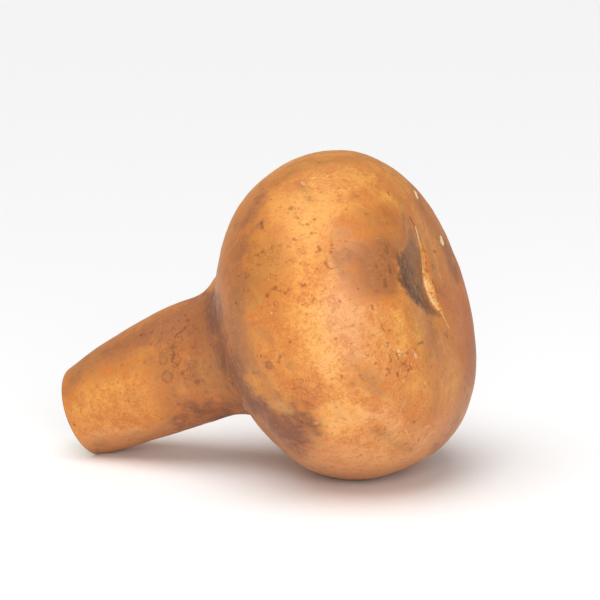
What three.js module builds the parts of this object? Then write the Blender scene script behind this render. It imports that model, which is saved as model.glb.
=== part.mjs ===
// A dried bottle gourd lying on its side: a squat bulb with a flattened blossom end, and a
// short thick neck that droops a little and is sawn off square at its tip.
// Millimetres, +Z up. The neck points along -X and the blossom end along +X.
// The gourd rests on the bulb's belly and on the lower edge of the sawn neck.
import * as THREE from "three";
import { mergeVertices } from "three/addons/utils/BufferGeometryUtils.js";

// The skin's line from the sawn tip to the blossom end: [along the gourd's axis, out from it].
const outline = [
  [0, 27.5], [20, 31], [40, 33.5], [60, 35.5], [78, 36.5], [96, 37], // neck, widening to its root
  [109, 42], [117, 49], // fold where the neck meets the bulb
  [125, 63.5], [144, 84], [175, 94.5], [208, 87], // shoulder, girth and belly
  [231, 62], [235.5, 29.5], [238, 0], // flattened blossom end
];
const girthAt = 162; // along the axis, where the bulb is widest
const neckRootAt = 97;

const droop = { drop: 14, power: 2.2 }; // the neck's tip hangs below the bulb's axis
const sawSlant = 0.08; // the saw cut leans this far out of square, as a slope
const rise = 17.6; // degrees from the floor to the bulb's axis, as the gourd lies
const worn = 1.5; // depth of the two flat spots that it rests on

// The sawn face shows the cut rind as a flat ring, and the dried pith in it has sunk.
const sawnFace = { ring: 5, sunk: 3 };

// Broad swellings (+) and hollows (-) that keep the gourd from being perfectly round.
// turn is in degrees from the top towards -Y, and spread is how far each one reaches.
const swells = [
  { along: 214, out: 82, turn: 5, height: 1.8, spread: 22 }, // above the blossom end
  { along: 190, out: 92, turn: 350, height: 0.9, spread: 26 }, // top of the girth
  { along: 214, out: 82, turn: 185, height: 1.2, spread: 22 }, // below the blossom end
  { along: 190, out: 92, turn: 180, height: -3, spread: 26 }, // belly that it lies on
  { along: 138, out: 78, turn: 180, height: 1.7, spread: 20 }, // lower shoulder
  { along: 170, out: 94, turn: 285, height: -3.6, spread: 48 }, // far flank
  { along: 112, out: 44, turn: 0, height: 3.4, spread: 10 }, // web on the upper fold
  { along: 113, out: 45, turn: 165, height: -0.9, spread: 10 }, // lower fold
  { along: 70, out: 36, turn: 10, height: 0.9, spread: 22 }, // top of the neck
  { along: 70, out: 36, turn: 170, height: -1.2, spread: 22 }, // under the neck
];

// The blossom scar sits in a dimple, and a crease runs through it across the bulb's end.
// Points of the crease are [towards -Y, up] from the bulb's axis.
const dimple = { side: 10, up: 4, depth: 3.6, spread: 22 };
const crease = {
  line: [
    [15, 50], [12.5, 46], [7.5, 38], [5, 28.5], [6, 20], [10, 11.5],
    [10.5, 2.5], [8.5, -4], [5, -11], [3, -20], [2, -27],
  ],
  valley: 3.4, // depth of its near side
  lip: 1.1, // height of its far side
  deepestAt: 0.61, // share of its length
  fading: 1.5,
  nearReach: 15,
  farReach: 10,
  step: 4, // width over which one side drops to the other
};

const facetsAround = 72;
const facetsAlong = { neck: 12, fold: 5, bulb: 13, end: 30 };
const foldEndsAt = 125; // along the axis
const endStartsAt = 208;

const { degToRad, smoothstep } = THREE.MathUtils;

const skin = new THREE.CatmullRomCurve3(
  outline.map(([along, out]) => new THREE.Vector3(along, out, 0)),
  false,
  "centripetal",
);

// Share of the skin line's length at a place along the axis.
function shareAt(along) {
  let low = 0;
  let high = 1;
  for (let i = 0; i < 30; i++) {
    const middle = (low + high) / 2;
    if (skin.getPointAt(middle).x < along) low = middle;
    else high = middle;
  }
  return low;
}

// The section that is turned, from the middle of the sawn face over the skin to the blossom end.
function makeSection() {
  const section = [];
  const pithEdge = outline[0][1] - sawnFace.ring;
  for (const share of [0, 0.55, 0.9, 1]) {
    const sunk = sawnFace.sunk * (1 - share ** 4);
    section.push(new THREE.Vector2(pithEdge * share, sunk));
  }
  const stops = [0, neckRootAt, foldEndsAt, endStartsAt].map(shareAt);
  stops.push(1);
  Object.values(facetsAlong).forEach((count, part) => {
    for (let i = 0; i < count; i++) {
      const p = skin.getPointAt(stops[part] + ((stops[part + 1] - stops[part]) * i) / count);
      section.push(new THREE.Vector2(p.y, p.x));
    }
  });
  section.push(new THREE.Vector2(0, outline.at(-1)[0]));
  return section;
}

const creasePoints = new THREE.CatmullRomCurve3(
  crease.line.map(([side, up]) => new THREE.Vector3(side, up, 0)),
).getSpacedPoints(90);

// Height of the crease's two sides at a point of the blossom end, fading out at its ends.
function creaseHeight(side, up) {
  let nearest = Infinity;
  let place = 0;
  creasePoints.forEach((p, i) => {
    const distance = Math.hypot(side - p.x, up - p.y);
    if (distance < nearest) [nearest, place] = [distance, i];
  });
  const last = creasePoints.length - 1;
  const p = creasePoints[place];
  const before = creasePoints[Math.max(0, place - 1)];
  const after = creasePoints[Math.min(last, place + 1)];
  // The line runs downwards, so this is positive on the side that faces -Y.
  const turn = (before.y - after.y) * (side - p.x) + (after.x - before.x) * (up - p.y);
  const across = Math.sign(turn) * nearest;
  const near = 1 / (1 + Math.exp((-4 * across) / crease.step));
  const down = crease.valley * Math.exp(-nearest / crease.nearReach);
  const lift = crease.lip * Math.exp(-nearest / crease.farReach);
  const rises = smoothstep(place / last, 0, crease.deepestAt);
  const falls = 1 - smoothstep(place / last, crease.deepestAt, 1);
  return (rises * falls) ** crease.fading * ((1 - near) * lift - near * down);
}

// How far the skin stands off the plain turned form.
function relief(along, side, up) {
  let height = 0;
  for (const swell of swells) {
    const turn = degToRad(swell.turn);
    const squared =
      (along - swell.along) ** 2 +
      (side - swell.out * Math.sin(turn)) ** 2 +
      (up - swell.out * Math.cos(turn)) ** 2;
    height += swell.height * Math.exp(-squared / (2 * swell.spread ** 2));
  }
  const onEnd = smoothstep(along, girthAt + 18, girthAt + 48);
  const squared = (side - dimple.side) ** 2 + (up - dimple.up) ** 2;
  const sunk = dimple.depth * Math.exp(-squared / (2 * dimple.spread ** 2));
  return onEnd > 0 ? height + onEnd * (creaseHeight(side, up) - sunk) : height;
}

function makeGourd() {
  const turned = new THREE.LatheGeometry(makeSection(), facetsAround);
  turned.deleteAttribute("normal");
  turned.deleteAttribute("uv");
  const geometry = mergeVertices(turned, 0.001);
  geometry.rotateX(Math.PI / 2); // the axis, which was +Y, is now +Z
  geometry.rotateY(Math.PI / 2); // and now +X
  geometry.computeVertexNormals();

  const position = geometry.getAttribute("position");
  const outward = new THREE.Vector3();
  const point = new THREE.Vector3();
  let neckLow = Infinity;
  let bulbLow = Infinity;
  for (let i = 0; i < position.count; i++) {
    point.fromBufferAttribute(position, i);
    outward.fromBufferAttribute(geometry.getAttribute("normal"), i);
    const along = point.x;
    const isSkin = along > sawnFace.sunk + 1;
    if (isSkin) point.addScaledVector(outward, relief(along, -point.y, point.z));
    const slant = sawSlant * Math.max(0, 1 - along / neckRootAt);
    point.x -= slant * point.z;
    point.z -= droop.drop * Math.max(0, 1 - along / girthAt) ** droop.power;
    point.applyAxisAngle(new THREE.Vector3(0, -1, 0), degToRad(rise));
    position.setXYZ(i, point.x, point.y, point.z);
    if (along < neckRootAt) neckLow = Math.min(neckLow, point.z);
    else bulbLow = Math.min(bulbLow, point.z);
  }
  const floor = Math.max(neckLow, bulbLow) + worn;
  for (let i = 0; i < position.count; i++) {
    position.setZ(i, Math.max(0, position.getZ(i) - floor));
  }
  geometry.computeBoundingBox();
  const middle = geometry.boundingBox.getCenter(new THREE.Vector3());
  geometry.translate(-middle.x, -middle.y, 0);
  geometry.computeVertexNormals();
  return geometry;
}

const driedRind = new THREE.MeshStandardMaterial({
  color: new THREE.Color(0.72, 0.33, 0.1),
  roughness: 0.45,
  metalness: 0,
});

const gourd = new THREE.Mesh(makeGourd(), driedRind);
gourd.name = "gourd";
const part = new THREE.Group();
part.add(gourd);

export default part;
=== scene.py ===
import math
from types import SimpleNamespace

import bpy
import numpy as np
from mathutils import Matrix, Vector, noise
from mathutils.bvhtree import BVHTree


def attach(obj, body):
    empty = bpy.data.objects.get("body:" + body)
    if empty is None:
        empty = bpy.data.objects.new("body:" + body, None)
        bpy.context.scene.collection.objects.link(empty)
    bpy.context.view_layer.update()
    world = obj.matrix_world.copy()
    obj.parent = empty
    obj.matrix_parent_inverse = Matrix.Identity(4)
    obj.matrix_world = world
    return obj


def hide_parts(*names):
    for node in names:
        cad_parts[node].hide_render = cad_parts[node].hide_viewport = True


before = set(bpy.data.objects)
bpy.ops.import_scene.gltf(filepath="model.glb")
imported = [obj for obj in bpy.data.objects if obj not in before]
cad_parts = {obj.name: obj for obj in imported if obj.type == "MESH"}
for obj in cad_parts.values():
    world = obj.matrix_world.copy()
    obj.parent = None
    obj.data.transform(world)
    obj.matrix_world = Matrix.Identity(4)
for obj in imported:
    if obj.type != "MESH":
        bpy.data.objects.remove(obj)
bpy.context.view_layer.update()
mm = 0.001
print("frame loaded")

# Camera, at the photograph's viewing angle. Lengths are in mm and angles in degrees.
cameraSetup = {
    "target": (22.5, 3.4, 98.5),
    "azimuth": 19.4,
    "elevation": 9.7,
    "distance": 1302,
    "lens": 135.7,
    "sensor": 36,
    "nearest": 50,  # nothing closer than this is drawn
    "photoWidth": 600,  # px
}


def cameraAxes(azimuth, elevation):
    # unit vectors to the right, up and back towards the camera
    a = math.radians(azimuth)
    e = math.radians(elevation)
    back = Vector((math.sin(a) * math.cos(e), -math.cos(a) * math.cos(e), math.sin(e)))
    right = Vector((math.cos(a), math.sin(a), 0))
    return right, back.cross(right), back


def placeFacing(name, data, azimuth, elevation, distance, middle):
    # a camera or a light that looks at the middle from this far off, in metres
    made = bpy.data.objects.new(name, data)
    right, up, back = cameraAxes(azimuth, elevation)
    turn = Matrix((right, up, back)).transposed().to_4x4()
    made.matrix_world = Matrix.Translation(middle + back * distance) @ turn
    bpy.context.collection.objects.link(made)
    return made


def makeCamera(setup):
    data = bpy.data.cameras.new("photoCamera")
    data.lens = setup["lens"]
    data.sensor_width = setup["sensor"]
    data.clip_start = setup["nearest"] * mm
    target = Vector(setup["target"]) * mm
    facing = (setup["azimuth"], setup["elevation"], setup["distance"] * mm)
    bpy.context.scene.camera = placeFacing("photoCamera", data, *facing, target)


makeCamera(cameraSetup)
print("camera placed")

# The gourd's form, in mm and degrees, the same as in the solid. The axis runs from the sawn
# tip to the blossom end. A place on the skin is given by its distance along the skin from
# the sawn edge, and by its turn from the top towards the camera's side, which is -Y.
gourdForm = {
    "outline": [
        (0, 27.5), (20, 31), (40, 33.5), (60, 35.5), (78, 36.5), (96, 37),
        (109, 42), (117, 49), (125, 63.5), (144, 84), (175, 94.5), (208, 87),
        (231, 62), (235.5, 29.5), (238, 0),
    ],
    "girthAt": 162,
    "neckRootAt": 97,
    "foldAt": 114,  # middle of the fold where the neck meets the bulb
    "foldEndsAt": 125,
    "endStartsAt": 208,
    "drop": 14,
    "dropPower": 2.2,
    "sawSlant": 0.08,
    "rise": 17.6,
    "worn": 1.5,
    "ring": 5,
    "sunk": 3,
    # along, out, turn, height, spread
    "swells": [
        (214, 82, 5, 1.8, 22), (190, 92, 350, 0.9, 26), (214, 82, 185, 1.2, 22),
        (190, 92, 180, -3, 26), (138, 78, 180, 1.7, 20), (170, 94, 285, -3.6, 48),
        (112, 44, 0, 3.4, 10), (113, 45, 165, -0.9, 10), (70, 36, 10, 0.9, 22),
        (70, 36, 170, -1.2, 22),
    ],
    "endRelief": (18, 48),  # how far past the girth the dimple and crease start and are full
    "dimple": {"side": 10, "up": 4, "depth": 3.6, "spread": 22},
    "crease": {
        "line": [
            (15, 50), (12.5, 46), (7.5, 38), (5, 28.5), (6, 20), (10, 11.5),
            (10.5, 2.5), (8.5, -4), (5, -11), (3, -20), (2, -27),
        ],
        "valley": 3.4,
        "lip": 1.1,
        "deepestAt": 0.61,  # share of its length
        "fading": 1.5,
        "nearReach": 15,
        "farReach": 10,
        "step": 1.6,  # finer than the solid's facets can hold
    },
}

# The fine mesh that stands for the solid.
gourdGrid = {
    "around": 352,
    "crowd": 0.3,  # columns are closer together by this share on the side that is seen
    "crowdAt": 95,  # turn
    "rows": {"pith": 18, "ring": 6, "neck": 58, "fold": 32, "bulb": 78, "end": 82},
    "pithCrowd": 0.8,  # below 1, the pith's rows are closer together near its edge
    "edgeRound": 0.5,  # wear of the sawn edge
    "creaseSteps": 24,  # between two points of the crease's line
}


def smoothCurve(points, count=40):
    # centripetal Catmull-Rom through the points
    p = np.array(points, float)
    p = np.vstack([2 * p[0] - p[1], p, 2 * p[-1] - p[-2]])
    pieces = []
    for a, b, c, d in zip(p, p[1:], p[2:], p[3:]):
        knots = np.cumsum([0] + [np.linalg.norm(n - m) ** 0.5 for m, n in ((a, b), (b, c), (c, d))])
        k0, k1, k2, k3 = knots
        t = np.linspace(k1, k2, count, endpoint=False)[:, None]
        ab = (k1 - t) / (k1 - k0) * a + (t - k0) / (k1 - k0) * b
        bc = (k2 - t) / (k2 - k1) * b + (t - k1) / (k2 - k1) * c
        cd = (k3 - t) / (k3 - k2) * c + (t - k2) / (k3 - k2) * d
        abc = (k2 - t) / (k2 - k0) * ab + (t - k0) / (k2 - k0) * bc
        bcd = (k3 - t) / (k3 - k1) * bc + (t - k1) / (k3 - k1) * cd
        pieces.append((k2 - t) / (k2 - k1) * abc + (t - k1) / (k2 - k1) * bcd)
    pieces.append(p[-2:-1])
    return np.vstack(pieces)


def lengthsAlong(line):
    steps = np.linalg.norm(np.diff(line, axis=0), axis=1)
    return np.concatenate([[0], np.cumsum(steps)])


def smoothstep(x, low, high):
    t = np.clip((x - low) / (high - low), 0, 1)
    return t * t * (3 - 2 * t)


def creaseHeight(crease, line, side, up):
    # the near side of the crease is low and its far side stands up as a lip
    place = np.empty(len(side), int)
    nearest = np.empty(len(side))
    atOnce = 4000  # points, to spare memory
    for start in range(0, len(side), atOnce):
        part = slice(start, start + atOnce)
        away = np.hypot(side[part, None] - line[:, 0], up[part, None] - line[:, 1])
        place[part] = away.argmin(1)
        nearest[part] = away.min(1)
    last = len(line) - 1
    before = line[np.maximum(place - 1, 0)]
    after = line[np.minimum(place + 1, last)]
    here = line[place]
    turn = (before[:, 1] - after[:, 1]) * (side - here[:, 0])
    turn += (after[:, 0] - before[:, 0]) * (up - here[:, 1])
    across = np.sign(turn) * nearest
    steepness = np.clip(-4 * across / crease["step"], -60, 60)  # the limits keep exp in range
    near = 1 / (1 + np.exp(steepness))
    down = crease["valley"] * np.exp(-nearest / crease["nearReach"])
    lift = crease["lip"] * np.exp(-nearest / crease["farReach"])
    share = lengthsAlong(line)[place] / lengthsAlong(line)[-1]
    deepest = crease["deepestAt"]
    fade = smoothstep(share, 0, deepest) * (1 - smoothstep(share, deepest, 1))
    return fade ** crease["fading"] * ((1 - near) * lift - near * down)


def makeSection(form, grid):
    # rows of the turned section: along, out and distance along the skin, and which are rind
    skin = smoothCurve(form["outline"])
    length = lengthsAlong(skin)
    stopsAt = [form["neckRootAt"], form["foldEndsAt"], form["endStartsAt"]]
    stops = [0] + [float(np.interp(x, skin[:, 0], length)) for x in stopsAt] + [length[-1]]
    rows = grid["rows"]
    spots = [np.linspace(a, b, rows[name], endpoint=False)
             for a, b, name in zip(stops, stops[1:], ["neck", "fold", "bulb", "end"])]
    spots = np.concatenate(spots + [stops[-1:]])
    edge = grid["edgeRound"]
    spots[0] = edge
    along, out = (np.interp(spots, length, skin[:, axis]) for axis in (0, 1))
    mouth = form["outline"][0][1]
    pithEdge = mouth - form["ring"]
    pith = np.linspace(0, 1, rows["pith"], endpoint=False) ** grid["pithCrowd"]
    ring = np.linspace(pithEdge, mouth - edge, rows["ring"])
    face = [(form["sunk"] * (1 - share ** 4), pithEdge * share, 0) for share in pith]
    face += [(0, out, 0) for out in ring]
    face += [(0.15 * edge, mouth - 0.3 * edge, 0)]  # halfway round the worn edge
    section = np.vstack([face, np.stack([along, out, spots], 1)])
    onRind = np.arange(len(section)) >= len(face)
    return section, onRind


def makeTurns(grid):
    # turn of each column, in radians, with the columns crowded on the side that is seen
    even = np.linspace(0, 2 * np.pi, 2001)
    at = math.radians(grid["crowdAt"])
    warped = even + grid["crowd"] * (np.sin(even - at) + math.sin(at))
    wanted = np.linspace(0, 2 * np.pi, grid["around"], endpoint=False)
    return np.interp(wanted, warped, even)


def broadRelief(form, grid, along, side, up):
    # how far the skin stands off the plain turned form
    height = np.zeros(along.shape)
    for at, far, turn, swell, spread in form["swells"]:
        t = math.radians(turn)
        square = (along - at) ** 2 + (side - far * math.sin(t)) ** 2 + (up - far * math.cos(t)) ** 2
        height += swell * np.exp(-square / (2 * spread ** 2))
    starts, full = form["endRelief"]
    onEnd = smoothstep(along, form["girthAt"] + starts, form["girthAt"] + full)
    ended = onEnd > 0
    crease = np.zeros(along.shape)
    line = smoothCurve(form["crease"]["line"], grid["creaseSteps"])
    crease[ended] = creaseHeight(form["crease"], line, side[ended], up[ended])
    dimple = form["dimple"]
    square = (side - dimple["side"]) ** 2 + (up - dimple["up"]) ** 2
    sunk = dimple["depth"] * np.exp(-square / (2 * dimple["spread"] ** 2))
    return height + onEnd * (crease - sunk), onEnd


def tilt(form, p):
    # from the gourd's axis, side and up to the frame's axes, with the blossom end raised
    rise = math.radians(form["rise"])
    c = math.cos(rise)
    s = math.sin(rise)
    return np.stack([p[..., 0] * c - p[..., 2] * s, -p[..., 1], p[..., 0] * s + p[..., 2] * c], -1)


def layDown(form, upright, along):
    # the neck droops, and the gourd lies on its worn spots with its middle over the origin
    slant = form["sawSlant"] * np.maximum(0, 1 - along / form["neckRootAt"])
    x = upright[..., 0] - slant * upright[..., 2]
    sag = form["drop"] * np.maximum(0, 1 - along / form["girthAt"]) ** form["dropPower"]
    points = tilt(form, np.stack([x, upright[..., 1], upright[..., 2] - sag], -1))
    inNeck = along < form["neckRootAt"]
    lowest = max(points[inNeck][:, 2].min(), points[~inNeck][:, 2].min())
    points[..., 2] -= lowest + form["worn"]
    low = points.reshape(-1, 3).min(0)
    high = points.reshape(-1, 3).max(0)
    points[..., :2] -= (low[:2] + high[:2]) / 2
    return points


def makeForm(form, grid):
    section, onRind = makeSection(form, grid)
    turns = makeTurns(grid)
    rise = np.gradient(section[:, :2], axis=0)
    rise /= np.linalg.norm(rise, axis=1)[:, None]
    along = np.repeat(section[:, :1], len(turns), 1)
    out = section[:, 1:2]
    side = out * np.sin(turns)
    up = out * np.cos(turns)
    normal = np.stack([
        np.repeat(-rise[:, 1:], len(turns), 1),
        rise[:, :1] * np.sin(turns),
        rise[:, :1] * np.cos(turns),
    ], -1)
    normal[~onRind] = (-1, 0, 0)
    normal[-1] = (1, 0, 0)
    height, onEnd = broadRelief(form, grid, along, side, up)
    height[~onRind] = 0
    upright = np.stack([along, side, up], -1) + height[..., None] * normal
    return {
        "points": layDown(form, upright, along), "normals": tilt(form, normal),
        "onRind": onRind, "turns": turns, "skin": section[:, 2],
        "along": along, "side": side, "up": up, "out": np.repeat(out, len(turns), 1), "onEnd": onEnd,
    }


form = makeForm(gourdForm, gourdGrid)
rowCount, columnCount = form["points"].shape[:2]
print("form made:", rowCount, "rows by", columnCount)


def gridFaces(rows, columns):
    # quads between rows 1 and rows - 2, and a fan at each pole
    faces = []
    first = 1 - columns
    for row in range(1, rows - 2):
        a = first + row * columns
        for column in range(columns):
            n = (column + 1) % columns
            faces.append((a + column, a + columns + column, a + columns + n, a + n))
    pole = first + (rows - 1) * columns
    for column in range(columns):
        n = (column + 1) % columns
        faces.append((0, first + columns + column, first + columns + n))
        a = pole - columns
        faces.append((a + column, pole, a + n))
    return faces


def flat(values):
    # one value for each vertex: the rows, with a single vertex at each pole
    inner = values[1:-1].reshape((-1,) + values.shape[2:])
    return np.concatenate([values[:1, 0], inner, values[-1:, 0]])


faces = gridFaces(rowCount, columnCount)
plain = {name: flat(form[name]) for name in ("points", "normals", "along", "side", "up", "out", "onEnd")}
plain["onRind"] = flat(np.repeat(form["onRind"][:, None], columnCount, 1))
tree = BVHTree.FromPolygons([tuple(p) for p in plain["points"]], faces)


def photoScale(setup):
    # the middle of the photograph in px, and its px for each unit sideways per unit of depth
    width = setup["photoWidth"]
    return width / 2, setup["lens"] / setup["sensor"] * width


def eyeAndAxes(setup):
    axes = cameraAxes(setup["azimuth"], setup["elevation"])
    return Vector(setup["target"]) + axes[2] * setup["distance"], axes


def skinUnder(pixel):
    # the point of the skin that a pixel of the photograph shows
    eye, (right, up, back) = eyeAndAxes(cameraSetup)
    middle, pixels = photoScale(cameraSetup)
    ray = right * (pixel[0] - middle) - up * (pixel[1] - middle) - back * pixels
    hit = tree.ray_cast(eye, ray.normalized())[0]
    if hit is None:
        raise ValueError(f"pixel {pixel} misses the gourd")
    return np.array(hit)


def photoPixels(points):
    # the photograph's pixel of each point
    eye, axes = eyeAndAxes(cameraSetup)
    right, up, back = (np.array(axis) for axis in axes)
    middle, pixels = photoScale(cameraSetup)
    away = points - np.array(eye)
    depth = -(away @ back)
    return np.stack([middle + pixels * (away @ right) / depth, middle - pixels * (away @ up) / depth], 1)


fadeBeyond = -0.45  # how far past the gourd's outline the photograph's areas fade, as a cosine


def facesCamera(points, normals):
    # 1 where the camera sees the skin, falling to 0 a little beyond the gourd's outline
    away = np.array(eyeAndAxes(cameraSetup)[0]) - points
    away /= np.linalg.norm(away, axis=1)[:, None]
    return smoothstep(np.einsum("ij,ij->i", away, normals), fadeBeyond, 0)


def depthInside(pixels, outline):
    # distance in px from each pixel to an outline, positive inside it
    corners = np.array(outline, float)
    inside = np.zeros(len(pixels), bool)
    nearest = np.full(len(pixels), np.inf)
    for a, b in zip(corners, np.roll(corners, -1, 0)):
        edge = b - a
        away = pixels - a
        share = np.clip(away @ edge / (edge @ edge), 0, 1)
        nearest = np.minimum(nearest, np.linalg.norm(away - share[:, None] * edge, axis=1))
        spans = (a[1] > pixels[:, 1]) != (b[1] > pixels[:, 1])
        rise = edge[1] if edge[1] else 1
        inside ^= spans & (pixels[:, 0] < a[0] + (pixels[:, 1] - a[1]) * edge[0] / rise)
    return np.where(inside, nearest, -nearest)


def skinAt(place):
    # the point of the skin at a distance along it and a turn in degrees
    row = int(np.abs(form["skin"] - place[0]).argmin())
    column = int(np.abs(np.degrees(form["turns"]) - place[1] % 360).argmin())
    return form["points"][row, column]


def pathOn(finder, place):
    # a place is one pair of numbers or a list of them
    return [finder(p) for p in (place if isinstance(place, list) else [place])]


def nearestOnPath(points, path):
    # offset of each point from the nearest point of a path
    offset = points - path[0]
    best = np.einsum("ij,ij->i", offset, offset)
    for a, b in zip(path, path[1:]):
        edge = b - a
        share = np.clip((points - a) @ edge / (edge @ edge), 0, 1)
        there = points - (a + share[:, None] * edge)
        square = np.einsum("ij,ij->i", there, there)
        closer = square < best
        offset[closer] = there[closer]
        best = np.where(closer, square, best)
    return offset, np.sqrt(best)


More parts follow.
